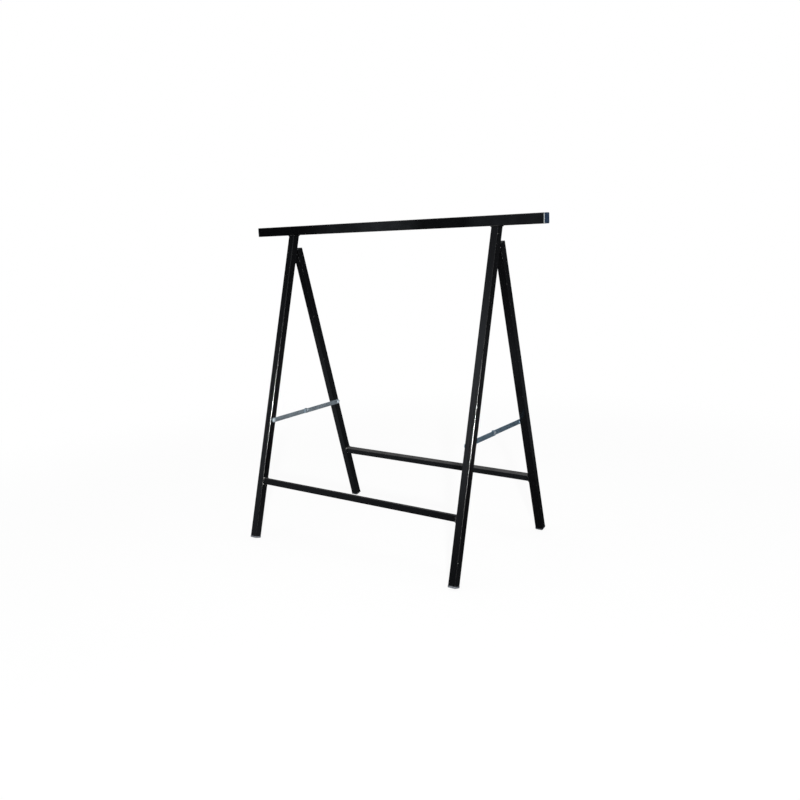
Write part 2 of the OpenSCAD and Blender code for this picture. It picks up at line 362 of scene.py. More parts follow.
def node_group(name, inputs, outputs, tree_kind="ShaderNodeTree"):
    """A new node group with its inputs and outputs; each input is a name, a kind and a default."""
    tree = bpy.data.node_groups.new(name, tree_kind)
    for label, kind, default in inputs:
        socket = tree.interface.new_socket(label, in_out="INPUT", socket_type="NodeSocket" + kind)
        if default is not None:
            socket.default_value = default
    for label, kind in outputs:
        tree.interface.new_socket(label, in_out="OUTPUT", socket_type="NodeSocket" + kind)
    given = tree.nodes.new("NodeGroupInput").outputs
    made = tree.nodes.new("NodeGroupOutput")
    return tree, given, made


def use_group(tree, name, inputs):
    """Places a shared shader group in a material and returns its outputs."""
    return add_node(tree, "ShaderNodeGroup", inputs, node_tree=shared_group(name)).outputs


def give_out(tree, made, results):
    """Links a group's results to its outputs."""
    for label, socket in results.items():
        tree.links.new(socket, made.inputs[label])


# Shared effects

FINISH_OUTPUTS = [("Colour", "Color"), ("Roughness", "Float"), ("Metallic", "Float"), ("Height", "Float")]


def tube_section_group():
    """A point's place in a tube's section: across, across and along. Pair Offset centres both of a pair."""
    inputs = [("Vector", "Vector", None), ("Pair Offset", "Float", 0.0)]
    tree, given, made = node_group("tube_section", inputs, [("Section", "Vector")])
    x, y, z = axes(given["Vector"])
    across = calc("SUBTRACT", calc("ABSOLUTE", x), given["Pair Offset"])
    give_out(tree, made, {"Section": join_axes(across, y, z)})
    return tree


# How often the enamel's patterns repeat in a metre
WAVES_SCALE, WAVES_STRETCH = 26.0, (1.0, 1.0, 0.35)
PATCHES_SCALE = 22.0
GRAINS_SCALE = 850.0
RUB_LINES_SCALE = (950.0, 950.0, 9.0)
RUB_PLACES_SCALE = 7.0
FLAKES_SCALE = 240.0
# Where the enamel's masks start, and where they are full
GRAINS_MASK = (0.58, 0.72)
UPWARD_MASK = (0.35, 0.95)
RUB_LINES_MASK = (0.60, 0.72)
RUB_PLACES_MASK = (0.50, 0.66)
CHIPS_MASK = (0.0, 0.03)
DULL_MASK = (0.05, 0.45)
CORNER_START, CORNER_FULL = 0.9, 0.25
# The least and the most that the patches make of other things
FILM_SPAN = (0.1, 0.5)
FLAKES_SPAN = (-0.16, 0.06)
TONE_SPAN = (0.75, 1.3)
PAINTED_SHEEN_SPAN = (0.3, 1.7)
ROUGHNESS_SPAN = (-0.03, 0.05)
# How much the dust, the rubs and the chips do
GRAINS_SHARE, MOST_DUST = 0.05, 0.6
CHIPS_LIMIT, CORNER_CHIPS = 0.82, 0.22
RUBBED_TONE = 6
DUST_ROUGHENS, RUBS_ROUGHEN, CHIPS_ROUGHEN = 0.5, 0.15, 0.22
DULL_ROUGHNESS = 0.85
CHIPS_METAL, CHIPS_DEPTH = 0.55, 0.05 * MM


def enamel_group(enamel):
    """Sprayed black enamel with orange peel, dust on upper faces, fine rubs, chips along the corners that on
    the welds are also painted highlights, and a painted sheen where asked.
    """
    inputs = [
        ("Coordinates", "Vector", None),
        ("Section", "Vector", None),
        ("Upward", "Float", None),
        ("Half Side", "Float", None),
        ("Fade", "Float", 0.0),
        ("Dust", "Float", 0.5),
        ("Wear", "Float", 0.5),
        ("Chipping", "Float", 0.0),
        ("Clean Roughness", "Float", enamel.roughness),
    ]
    tree, given, made = node_group("black_enamel", inputs, FINISH_OUTPUTS)
    place, section = given["Coordinates"], given["Section"]

    # Dimples of the spray and long waves of the drawn tube, as heights
    dimples = noise(place, 1 / enamel.peel_size, detail=1.5)
    waves = noise(stretch(section, WAVES_STRETCH), WAVES_SCALE, detail=1.0)
    height = raise_by(times(dimples, enamel.peel_depth), waves, enamel.wave_depth)

    # Dust that settles on faces that look up, thicker in patches
    patches = noise(place, PATCHES_SCALE, detail=4.0, roughness=0.6)
    grains = ease(noise(place, GRAINS_SCALE, detail=1.0), *GRAINS_MASK)
    settled = times(ease(given["Upward"], *UPWARD_MASK), given["Dust"])
    film = times(settled, span(patches, *FILM_SPAN))
    dust = raise_by(film, grains, times(given["Dust"], GRAINS_SHARE))
    dust = calc("MINIMUM", dust, MOST_DUST)

    # Fine rubs along the tube, in places
    lines = noise(stretch(section, RUB_LINES_SCALE), 1.0)
    where = ease(noise(place, RUB_PLACES_SCALE), *RUB_PLACES_MASK)
    rubs = times(ease(lines, *RUB_LINES_MASK), where)
    rubs = times(rubs, given["Wear"])

    # Chips along the tube's corners, down to the steel; at the given weld spots this bare steel is also a
    # painted highlight
    across, deep, _ = axes(section)
    least = calc("MINIMUM", calc("ABSOLUTE", across), calc("ABSOLUTE", deep))
    inside = calc("SUBTRACT", given["Half Side"], least)
    corner = ease(inside, enamel.corner * CORNER_START, enamel.corner * CORNER_FULL)
    flakes = noise(place, FLAKES_SCALE, detail=3.0, roughness=0.65)
    flakes = calc("ADD", flakes, span(patches, *FLAKES_SPAN))
    limit = lower_by(CHIPS_LIMIT, corner, CORNER_CHIPS)
    limit = calc("SUBTRACT", limit, given["Chipping"])
    chips_and_glints = ease(calc("SUBTRACT", flakes, limit), *CHIPS_MASK)
    bare_steel_and_glints = times(chips_and_glints, given["Wear"])

    clean = tint(patches, *(opaque(c * tone for c in enamel.colour) for tone in TONE_SPAN))
    # Painted sheen: lightens the enamel where asked, in place of its reflection.
    fade = times(given["Fade"], span(patches, *PAINTED_SHEEN_SPAN))
    with_painted_sheen = tint(fade, clean, opaque(enamel.painted_sheen_colour))
    rubbed = tint(rubs, with_painted_sheen, opaque(c * RUBBED_TONE for c in enamel.colour))
    dusty = tint(dust, rubbed, opaque(enamel.dust_colour))
    roughness = calc("ADD", given["Clean Roughness"], span(patches, *ROUGHNESS_SPAN))
    for mask, amount in ((dust, DUST_ROUGHENS), (rubs, RUBS_ROUGHEN), (bare_steel_and_glints, CHIPS_ROUGHEN)):
        roughness = raise_by(roughness, mask, amount)
    dull = times(ease(settled, *DULL_MASK), DULL_ROUGHNESS)
    results = {
        "Colour": tint(bare_steel_and_glints, dusty, opaque(enamel.steel_colour)),
        "Roughness": calc("MAXIMUM", roughness, dull),
        "Metallic": times(bare_steel_and_glints, CHIPS_METAL),
        "Height": lower_by(height, bare_steel_and_glints, CHIPS_DEPTH),
    }
    give_out(tree, made, results)
    return tree


# The rubbed ring's lines in a metre, and where it starts and is full, in shares of its radius
RING_LINES_SCALE = 2600.0
RING_START, RING_FULL = 1.5, 0.8


def rub_ring_group(zinc):
    """A ring that a turning rivet head has rubbed round its pivot, in fine circular lines."""
    inputs = [("Vector", "Vector", None), ("Pivot", "Vector", None)]
    tree, given, made = node_group("rub_ring", inputs, [("Lines", "Float")])
    apart = vector_calc("SUBTRACT", given["Vector"], given["Pivot"])
    flat = vector_calc("MULTIPLY", apart, (0.0, 1.0, 1.0))
    distance = vector_measure("LENGTH", flat)
    ring = ease(distance, zinc.rub_radius * RING_START, zinc.rub_radius * RING_FULL)
    lines = noise(join_axes(distance), RING_LINES_SCALE)
    give_out(tree, made, {"Lines": times(lines, ring)})
    return tree


# How often the zinc's patterns repeat in a metre, and where their masks start and are full
STAINS_SCALE, STAINS_MASK = 34.0, (0.48, 0.72)
SPECKS_SCALE, SPECKS_MASK = 620.0, (0.66, 0.74)
STRAP_ROLLING, RIVET_ROLLING = (60.0, 8.0, 900.0), (300.0, 300.0, 300.0)
EDGE_MASK = (0.8, 0.4)
# What the crystals, the rolling, the stains, the rubs, the specks and the edges do to the zinc
CRYSTALS_TONE, ROLLING_TONE = (0.88, 1.04), (-0.10, 0.10)
STAINS_DARKEN, RUBS_LIGHTEN = 0.45, 0.22
SPECKS_COLOUR, SPECKS_SHARE = (0.72, 0.72, 0.70, 1.0), 0.45
CRYSTALS_ROUGHNESS = (0.38, 0.50)
STAINS_ROUGHEN, RUBS_POLISH = 0.22, 0.08
EDGE_ROUGHNESS = 0.85
BLOOM_SHARE = 0.3
ROLLING_DEPTH, RUBS_DEPTH = 0.010 * MM, 0.012 * MM


def zinc_group(zinc):
    """Plated zinc: faint crystals, rolling lines, stains, pale specks and dull sheared edges."""
    inputs = [("Coordinates", "Vector", None), ("Rolling", "Vector", None), ("Zinc", "Color", None)]
    inputs += [(label, "Float", None) for label in ("Edge", "Rub", "Metal", "Stain")]
    tree, given, made = node_group("zinc_plate", inputs, FINISH_OUTPUTS)
    place, rub = given["Coordinates"], given["Rub"]
    crystal = add_node(tree, "ShaderNodeTexVoronoi", {"Vector": place, "Scale": 1 / zinc.spangle_size})
    shade = add_node(tree, "ShaderNodeSeparateColor", {0: crystal.outputs["Color"]}).outputs[0]
    rolling = noise(given["Rolling"], 1.0)
    cloud = noise(place, STAINS_SCALE, detail=5.0, roughness=0.62)
    stain = times(ease(cloud, *STAINS_MASK), given["Stain"])
    specks = ease(noise(place, SPECKS_SCALE, detail=1.0), *SPECKS_MASK)
    specks = times(specks, given["Stain"])
    level = calc("ADD", span(shade, *CRYSTALS_TONE), span(rolling, *ROLLING_TONE))
    level = lower_by(level, stain, STAINS_DARKEN)
    level = raise_by(level, rub, RUBS_LIGHTEN)
    plain = shaded(given["Zinc"], level)
    roughness = raise_by(span(shade, *CRYSTALS_ROUGHNESS), stain, STAINS_ROUGHEN)
    roughness = lower_by(roughness, rub, RUBS_POLISH)
    bloom = times(calc("ADD", stain, specks), BLOOM_SHARE)
    results = {
        "Colour": tint(times(specks, SPECKS_SHARE), plain, SPECKS_COLOUR),
        "Roughness": calc("MAXIMUM", roughness, times(given["Edge"], EDGE_ROUGHNESS)),
        "Metallic": calc("SUBTRACT", given["Metal"], bloom),
        "Height": lower_by(times(rolling, ROLLING_DEPTH), rub, RUBS_DEPTH),
    }
    give_out(tree, made, results)
    return tree


# How often the plastic's patterns repeat in a metre, and what its clouds, its scuffs and its painted
# highlight do
CLOUDS_SCALE, CLOUDS_TONE, CLOUDS_ROUGHNESS = 60.0, (0.75, 1.3), (0.34, 0.50)
FLECKS_SCALE, FLECKS_SPAN = 420.0, (-0.45, 0.45)
SCUFF_AND_HIGHLIGHT_MASK, SCUFF_AND_HIGHLIGHT_ROUGHENS = (0.42, 0.78), 0.2
GRAIN_DEPTH = 0.012 * MM


def moulded_group(plastic):
    """Moulded plastic: a fine grain, cloudy wear, and where a mask asks for them, scuffs on the feet and a
    painted highlight on the beam caps.
    """
    inputs = [("Coordinates", "Vector", None), ("Scuff And Highlight", "Float", None)]
    inputs += [("Body", "Color", None), ("Worn And Highlight", "Color", None)]
    outputs = [output for output in FINISH_OUTPUTS if output[0] != "Metallic"]
    tree, given, made = node_group("moulded_plastic", inputs, outputs)
    place = given["Coordinates"]
    grain = noise(place, 1 / plastic.grain_size)
    cloud = noise(place, CLOUDS_SCALE, detail=4.0, roughness=0.6)
    fleck = noise(place, FLECKS_SCALE, detail=3.0, roughness=0.6)
    scuff_and_highlight = calc("ADD", given["Scuff And Highlight"], span(fleck, *FLECKS_SPAN))
    scuff_and_highlight = ease(scuff_and_highlight, *SCUFF_AND_HIGHLIGHT_MASK)
    body = shaded(given["Body"], span(cloud, *CLOUDS_TONE))
    results = {
        "Colour": tint(scuff_and_highlight, body, given["Worn And Highlight"]),
        "Roughness": raise_by(span(cloud, *CLOUDS_ROUGHNESS), scuff_and_highlight, SCUFF_AND_HIGHLIGHT_ROUGHENS),
        "Height": times(calc("ADD", grain, scuff_and_highlight), GRAIN_DEPTH),
    }
    give_out(tree, made, results)
    return tree


GROUP_MAKERS = {
    "tube_section": tube_section_group,
    "black_enamel": lambda: enamel_group(settings("trestle_enamel")),
    "rub_ring": lambda: rub_ring_group(settings("trestle_zinc")),
    "zinc_plate": lambda: zinc_group(settings("trestle_zinc")),
    "moulded_plastic": lambda: moulded_group(settings("trestle_plastic")),
}


def shared_group(name):
    """A shader group, built the first time that it is asked for."""
    return bpy.data.node_groups.get(name) or GROUP_MAKERS[name]()


# Materials

# The turns of a tube that stands upright and of one that lies along the beam
UPRIGHT = (0.0, 0.0, 0.0)
LYING = (0.0, math.pi / 2, 0.0)


def new_material(name):
    """An empty node material with its shader, and its coordinates in the object's own frame."""
    material = bpy.data.materials.new(name)
    tree = empty_nodes(material)
    shader = tree.nodes.new("ShaderNodeBsdfPrincipled")
    add_node(tree, "ShaderNodeOutputMaterial", {"Surface": shader.outputs["BSDF"]})
    coordinates = tree.nodes.new("ShaderNodeTexCoord").outputs
    return material, tree, shader, coordinates


def dress_shader(tree, shader, results):
    """Links a group's results to the shader; heights are in metres."""
    names = {"Colour": "Base Color", "Roughness": "Roughness", "Metallic": "Metallic"}
    for result, socket in names.items():
        if result in results:
            tree.links.new(results[result], shader.inputs[socket])
    bump = add_node(tree, "ShaderNodeBump", {"Height": results["Height"], "Distance": 1.0, "Strength": 1.0})
    tree.links.new(bump.outputs["Normal"], shader.inputs["Normal"])


def worked_out(value, coordinates):
    """A mask's result in a material, or a plain number as it is."""
    return value(coordinates) if callable(value) else value


def enamel_material(name, gloss, place, turn, half_side, pair_offset=0.0, **values):
    """Black enamel on a tube whose section lies at a place, with its length turned to local Z.

    The other values are the enamel group's inputs, each a number or a mask.
    """
    material, tree, shader, coordinates = new_material(name)
    inputs = {"Vector": seen_from(coordinates, place, turn), "Pair Offset": pair_offset}
    section = use_group(tree, "tube_section", inputs)["Section"]
    inputs = {
        "Coordinates": coordinates["Object"],
        "Section": section,
        "Upward": axes(coordinates["Normal"])[2],
        "Half Side": half_side,
    }
    for label, value in values.items():
        inputs[label.replace("_", " ").title()] = worked_out(value, coordinates)
    shader.inputs["Specular IOR Level"].default_value = gloss
    dress_shader(tree, shader, use_group(tree, "black_enamel", inputs))
    return material


def zinc_material(name, colour, metal, stain, rolling, pivots=()):
    """Zinc plate, rubbed round the pivots given."""
    material, tree, shader, coordinates = new_material(name)
    rub = 0.0
    for pivot in pivots:
        ring = use_group(tree, "rub_ring", {"Vector": coordinates["Object"], "Pivot": tuple(pivot)})
        rub = calc("MAXIMUM", ring["Lines"], rub)
    sideways = calc("ABSOLUTE", axes(coordinates["Normal"])[0])
    inputs = {
        "Coordinates": coordinates["Object"],
        "Edge": ease(sideways, *EDGE_MASK),
        "Rolling": stretch(coordinates["Object"], rolling),
        "Rub": rub,
        "Zinc": opaque(colour),
        "Metal": metal,
        "Stain": stain,
    }
    dress_shader(tree, shader, use_group(tree, "zinc_plate", inputs))
    return material


def moulded_material(name, body, worn_and_highlight, scuff_and_highlight):
    """Moulded plastic, scuffed on the feet and lit by a painted highlight on the beam caps, where its mask
    asks for it.
    """
    material, tree, shader, coordinates = new_material(name)
    inputs = {
        "Coordinates": coordinates["Object"],
        "Scuff And Highlight": worked_out(scuff_and_highlight, coordinates),
        "Body": opaque(body),
        "Worn And Highlight": opaque(worn_and_highlight),
    }
    dress_shader(tree, shader, use_group(tree, "moulded_plastic", inputs))
    return material


# Where a painted sheen lightens the beam, in metres along it, how far each place reaches, and how much it
# does
PAINTED_SHEEN_START, PAINTED_SHEEN_FULL, PAINTED_SHEEN_AMOUNT = -0.36, -0.16, 0.5
PAINTED_SHEEN_PEAK_PLACE, PAINTED_SHEEN_PEAK_REACH, PAINTED_SHEEN_PEAK_AMOUNT = 0.0, 0.14, 0.5
PAINTED_SHEEN_DIP_PLACE, PAINTED_SHEEN_DIP_REACH, PAINTED_SHEEN_DIP_AMOUNT = 0.22, 0.13, 0.37


def beam_painted_sheen(coordinates):
    """A mask of painted sheen on the beam: none at the left end, most in the middle, less again beside it.
    """
    along = axes(coordinates["Object"])[0]
    from_sheen_peak = calc("ABSOLUTE", calc("SUBTRACT", along, PAINTED_SHEEN_PEAK_PLACE))
    from_sheen_dip = calc("ABSOLUTE", calc("SUBTRACT", along, PAINTED_SHEEN_DIP_PLACE))
    fade = times(ease(along, PAINTED_SHEEN_START, PAINTED_SHEEN_FULL), PAINTED_SHEEN_AMOUNT)
    fade = raise_by(fade, ease(from_sheen_peak, PAINTED_SHEEN_PEAK_REACH, 0.0), PAINTED_SHEEN_PEAK_AMOUNT)
    return lower_by(fade, ease(from_sheen_dip, PAINTED_SHEEN_DIP_REACH, PAINTED_SHEEN_DIP_REACH / 2), PAINTED_SHEEN_DIP_AMOUNT)


def chipped_glint_spots(places, reach, amount):
    """A mask of bare steel spots round the places given, partly chips and partly painted highlights where
    the welds glint.
    """

    def mask(coordinates):
        near = 0.0
        for place in places:
            distance = vector_measure("DISTANCE", coordinates["Object"], place)
            near = calc("MAXIMUM", ease(distance, reach, reach / 2), near)
        return times(near, amount)

    return mask


def foot_scuff(row, amount, soft_edge=0.8 * MM):
    """A mask for the part of a foot cap that stands below its leg's tube."""
    low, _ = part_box(f"{ROWS[row]}_leg_right")
    tube_end = (CROSSING.z - low.z - LEG_SIDE / 2 * math.sin(LEANS[row])) / math.cos(LEANS[row])

    def mask(coordinates):
        along = axes(seen_from(coordinates, CROSSING, leg_angles(row)))[2]
        return times(ease(along, -tube_end, -tube_end - soft_edge), amount)

    return mask


# How far an edge looks to the front where its painted highlight starts, and where it is full
FRONT_EDGE_HIGHLIGHT_MASK = (0.2, 0.7)


def front_edge_highlight(coordinates):
    """A mask of painted highlight on the edge that looks to the front."""
    frontward = times(axes(coordinates["Normal"])[1], FRONT)
    return ease(frontward, *FRONT_EDGE_HIGHLIGHT_MASK)


def dress(material, *nodes):
    """Gives CAD nodes a material in place of the plain one."""
    for node in nodes:
        mesh = frame["nodes"][node].data
        mesh.materials.clear()
        mesh.materials.append(material)


def pair(name):
    """The left and right node of a pair."""
    return [f"{name}_{side}" for side in ("left", "right")]


# Weld paths

# Shares of a bead's radius that it stands off a corner and sinks into a leaf, and of the leaf left free
SEAT_SHARE, LEAF_SINK_SHARE, LEAF_FREE_SHARE = 0.3, 0.35, 0.32
# The ripples' roundness and slant, their length as a share of the step, and the core's of the radius
RIPPLE_SEGMENTS, RIPPLE_RINGS = 10, 6
RIPPLE_SLANT = (0.42, 0.0, 0.0)
RIPPLE_LENGTH_SHARE, CORE_SHARE = 0.95, 0.82


def add_to_scene(name, data):
    """A new object in the scene."""
    obj = bpy.data.objects.new(name, data)
    bpy.context.scene.collection.objects.link(obj)
    return obj


def mesh_object(name, points, edges, faces):
    """A new mesh object in the scene."""
    mesh = bpy.data.meshes.new(name)
    mesh.from_pydata(points, edges, faces)
    return add_to_scene(name, mesh)


def leg_angles(row):
    """The turn from upright to a leg of the front or rear frame, as angles."""
    return (row * LEANS[row], 0.0, 0.0)


def leg_turn(row):
    """The same turn as a matrix."""
    return Matrix.Rotation(row * LEANS[row], 4, "X")


def bar_turn(row):
    """The move and turn from the origin to a crossbar's middle."""
    return Matrix.Translation(BAR_PLACES[row]) @ leg_turn(row)


def rounded_loop(half_width, half_height, radius, steps=4):
    """The points of a rectangle with rounded corners, in order."""
    points = []
    for corner in range(4):
        sign_x = 1 if corner in (0, 3) else -1
        sign_y = 1 if corner in (0, 1) else -1
        for step in range(steps + 1):
            angle = math.radians(90 * (corner + step / steps))
            x = sign_x * (half_width - radius) + radius * math.cos(angle)
            y = sign_y * (half_height - radius) + radius * math.sin(angle)
            points.append((x, y))
    return points


def leg_top_paths(corner, seat):
    """Loops round the front legs' tops, in the corner below the beam."""
    half_x = LEG_SIDE / 2 + seat
    half_y = LEG_SIDE / 2 / math.cos(LEANS[FRONT]) + seat
    loop = rounded_loop(half_x, half_y, corner)
    middle = CROSSING - Vector((0.0, seat * math.tan(LEANS[FRONT]), seat))
    return [[middle + Vector((side * LEG_X + x, y, 0.0)) for x, y in loop] for side in (LEFT, RIGHT)]


def bar_end_corner(row, half_side, across, up):
    """A corner of a crossbar's left end, where its weld turns."""
    return bar_turn(row) @ Vector((LEG_SIDE / 2 - LEG_X, across * half_side, up * half_side))


def bar_end_paths(row, half_side, corner, seat):
    """Loops round a crossbar's ends, in the corner at the legs' inner faces."""
    loop = rounded_loop(half_side + seat, half_side + seat, corner)
    turn = bar_turn(row)
    inner_x = LEG_X - LEG_SIDE / 2 - seat
    return [[turn @ Vector((side * inner_x, y, z)) for y, z in loop] for side in (LEFT, RIGHT)]


def leaf_paths(row, radius):
    """Lines along both sides and the lower end of each hinge leaf."""
    half = LEAF_WIDTH / 2
    top = -LEAF_DROP * LEAF_FREE_SHARE
    face = row * (HINGE_GAP - radius * LEAF_SINK_SHARE)
    outline = [(-half, top), (-half, -LEAF_DROP), (half, -LEAF_DROP), (half, top)]
    paths = []
    for side in (LEFT, RIGHT):
        turn = Matrix.Translation((side * LEG_X, FOLD_PIVOT.y, FOLD_PIVOT.z)) @ leg_turn(row)
        paths.append([turn @ Vector((x, face, z)) for x, z in outline])
    return paths


def path_object(name, paths, closed):
    """A mesh of bare edges along each path."""
    points, edges = [], []
    for path in paths:
        first = len(points)
        points += [tuple(point) for point in path]
        count = len(path)
        edges += [(first + i, first + (i + 1) % count) for i in range(count if closed else count - 1)]
    return mesh_object(name, points, edges, [])


def weld_bead_tree():
    """Geometry nodes that lay a rippled bead along edges: overlapping ripples on a plain core."""
    inputs = [("Path", "Geometry", None)]
    inputs += [(label, "Float", None) for label in ("Bead Radius", "Ripple Step", "Unevenness")]
    inputs += [("Seed", "Int", None), ("Finish", "Material", None)]
    tree, given, made = node_group("weld_bead", inputs, [("Bead", "Geometry")], "GeometryNodeTree")
    radius, uneven = given["Bead Radius"], given["Unevenness"]

    line = add_node(tree, "GeometryNodeMeshToCurve", {"Mesh": given["Path"]}).outputs["Curve"]
    inputs = {"Curve": line, "Length": given["Ripple Step"]}
    beads = add_node(tree, "GeometryNodeCurveToPoints", inputs, mode="LENGTH").outputs
    inputs = {"Segments": RIPPLE_SEGMENTS, "Rings": RIPPLE_RINGS, "Radius": 1.0}
    ripple = add_node(tree, "GeometryNodeMeshUVSphere", inputs).outputs["Mesh"]
    least = calc("SUBTRACT", 1.0, uneven)
    most = calc("ADD", 1.0, uneven)
    inputs = {2: least, 3: most, "Seed": given["Seed"]}
    size = add_node(tree, "FunctionNodeRandomValue", inputs, data_type="FLOAT").outputs[1]
    width = times(radius, size)
    scale = join_axes(width, width, times(given["Ripple Step"], RIPPLE_LENGTH_SHARE))
    inputs = {0: beads["Rotation"], 1: RIPPLE_SLANT}
    slant = add_node(tree, "FunctionNodeRotateRotation", inputs, rotation_space="LOCAL").outputs[0]
    inputs = {"Points": beads["Points"], "Instance": ripple, "Rotation": slant, "Scale": scale}
    ripples = add_node(tree, "GeometryNodeInstanceOnPoints", inputs).outputs["Instances"]
    inputs = {"Resolution": RIPPLE_SEGMENTS, "Radius": times(radius, CORE_SHARE)}
    ring = add_node(tree, "GeometryNodeCurvePrimitiveCircle", inputs).outputs["Curve"]
    inputs = {"Curve": line, "Profile Curve": ring, "Fill Caps": True}
    core = add_node(tree, "GeometryNodeCurveToMesh", inputs).outputs["Mesh"]
    joined = tree.nodes.new("GeometryNodeJoinGeometry")
    for part in (ripples, core):
        tree.links.new(part, joined.inputs[0])
    smooth = add_node(tree, "GeometryNodeSetShadeSmooth", {"Geometry": joined.outputs[0]}).outputs[0]
    real = add_node(tree, "GeometryNodeRealizeInstances", {"Geometry": smooth}).outputs[0]
    inputs = {"Geometry": real, "Material": given["Finish"]}
    give_out(tree, made, {"Bead": add_node(tree, "GeometryNodeSetMaterial", inputs).outputs[0]})
    return tree


def lay_bead(name, paths, closed, radius, finish, body):
    """Runs the weld tree along the paths and keeps the result as a plain piece that rides on a body."""
    welds = settings("trestle_welds")
    tree = bpy.data.node_groups.get("weld_bead") or weld_bead_tree()
    guide = path_object(name + "_path", paths, closed)
    modifier = guide.modifiers.new("weld_bead", "NODES")
    modifier.node_group = tree
    values = {
        "Bead Radius": radius,
        "Ripple Step": welds.ripple_step,
        "Unevenness": welds.unevenness,
        "Seed": welds.seed,
        "Finish": finish,
    }
    for item in tree.interface.items_tree:
        if item.in_out == "INPUT" and item.name in values:
            modifier[item.identifier] = values[item.name]
    depsgraph = bpy.context.evaluated_depsgraph_get()
    mesh = bpy.data.meshes.new_from_object(guide.evaluated_get(depsgraph))
    bpy.data.objects.remove(guide)
    if not mesh.polygons:
        raise RuntimeError(f"{name} came out empty")
    mesh.name = name
    piece = add_to_scene(name, mesh)
    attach(piece, body)


# Operators

class TRESTLE_OT_enamel_frame(bpy.types.Operator):
    """Gives the beam, the legs and the crossbars their black enamel"""

    bl_idname = "trestle.enamel_frame"
    bl_label = "Enamel the Frame"

    def execute(self, context):
        enamel = settings("trestle_enamel")
        lying = Matrix.Rotation(LYING[1], 4, "Y")
        # The beam's mask lightens it along its length as a painted sheen.
        beam = enamel_material(
            "beam_enamel", enamel.beam_gloss, middle_of("top_beam"), LYING, BEAM_SIDE / 2,
            fade=beam_painted_sheen, dust=0.7, wear=0.8,
        )
        dress(beam, "top_beam")
        # The rear crossbar gets a painted sheen in place of its reflection.
        bar_looks = {FRONT: {"fade": 0.0, "dust": 0.6}, REAR: {"fade": 0.45, "dust": 1.1}}
        for row, name in ROWS.items():
            leg = enamel_material(
                f"{name}_leg_enamel", enamel.leg_gloss, CROSSING, leg_angles(row), LEG_SIDE / 2,
                pair_offset=LEG_X,
            )
            dress(leg, *pair(f"{name}_leg"))
            bar = enamel_material(
                f"{name}_crossbar_enamel", enamel.bar_gloss, BAR_PLACES[row],
                (leg_turn(row) @ lying).to_euler(), enamel.bar_side / 2, **bar_looks[row],
            )
            dress(bar, f"{name}_crossbar")
        return {"FINISHED"}


class TRESTLE_OT_enamel_hinges(bpy.types.Operator):
    """Gives the hinge leaves and pins their enamel"""

    bl_idname = "trestle.enamel_hinges"
    bl_label = "Enamel the Hinges"

    def execute(self, context):
        hinge = enamel_material(
            "hinge_enamel", settings("trestle_enamel").leg_gloss, FOLD_PIVOT, UPRIGHT, LEAF_WIDTH / 2,
            pair_offset=LEG_X, dust=0.4, wear=0.9,
        )
        dress(hinge, *pair("hinge_front_leaf"), *pair("hinge_rear_leaf"), *pair("hinge_pin"))
        return {"FINISHED"}


class TRESTLE_OT_lay_welds(bpy.types.Operator):
    """Lays the weld beads at the leg tops, the crossbars' ends and the hinge leaves"""

    bl_idname = "trestle.lay_welds"
    bl_label = "Lay the Welds"

    def execute(self, context):
        welds = settings("trestle_welds")
        enamel = settings("trestle_enamel")
        half_bar = enamel.bar_side / 2
        # Bare steel spots at these weld corners are partly chips and partly painted highlights.
        glint_corners = [
            bar_end_corner(row, half_bar, FRONT, up) for row, up in ((FRONT, 1), (FRONT, -1), (REAR, 1))
        ]
        finish = enamel_material(
            "weld_enamel", enamel.bar_gloss, CROSSING, UPRIGHT, BEAM_SIDE, dust=0.9, wear=1.0,
            chipping=chipped_glint_spots(glint_corners, reach=3.6 * MM, amount=0.5),
            clean_roughness=enamel.weld_roughness,
        )
        seat = welds.bead_radius * SEAT_SHARE
        loops = {row: bar_end_paths(row, half_bar, enamel.corner, seat) for row in ROWS}
        loops[FRONT] = leg_top_paths(enamel.corner, seat) + loops[FRONT]
        for row, name in ROWS.items():
            body = f"{name}_frame"
            lay_bead(f"{name}_frame_welds", loops[row], True, welds.bead_radius, finish, body)
            radius = welds.leaf_bead_radius
            lines = leaf_paths(row, radius)
            lay_bead(f"{name}_hinge_welds", lines, False, radius, finish, body)
        return {"FINISHED"}


class TRESTLE_OT_plate_stays(bpy.types.Operator):
    """Gives the stay straps their zinc plate, rubbed round the rivets"""

    bl_idname = "trestle.plate_stays"
    bl_label = "Plate the Stays"

    def execute(self, context):
        zinc = settings("trestle_zinc")
        straps = {"front_strap": (STAY_PIVOT, KNUCKLE), "rear_strap": (KNUCKLE, REAR_PIVOT)}
        # The right straps' darker colour is painted shade.
        colours = {"left": zinc.strap_colour, "right": zinc.shaded_strap_colour}
        for side, colour in colours.items():
            for strap, pivots in straps.items():
                node = f"{strap}_{side}"
                finish = zinc_material(
                    f"{node}_zinc", colour, zinc.strap_metal, stain=0.6, rolling=STRAP_ROLLING, pivots=pivots
                )
                dress(finish, node)
        return {"FINISHED"}


class TRESTLE_OT_plate_rivets(bpy.types.Operator):
    """Gives the rivets, spacers and washers their zinc plate"""

    bl_idname = "trestle.plate_rivets"
    bl_label = "Plate the Rivets"

    def execute(self, context):
        zinc = settings("trestle_zinc")
        metals = {
            "front_stay_rivet": zinc.rivet_metal,
            "front_stay_spacer": zinc.strap_metal,
            "knuckle_rivet": zinc.strap_metal,
            "rear_stay_rivet": zinc.rivet_metal,
            "rear_stay_washer": zinc.strap_metal,
        }
        for name, metal in metals.items():
            finish = zinc_material(
                f"{name}_zinc", zinc.rivet_colour, metal, stain=0.35, rolling=RIVET_ROLLING
            )
            dress(finish, *pair(name))
        return {"FINISHED"}


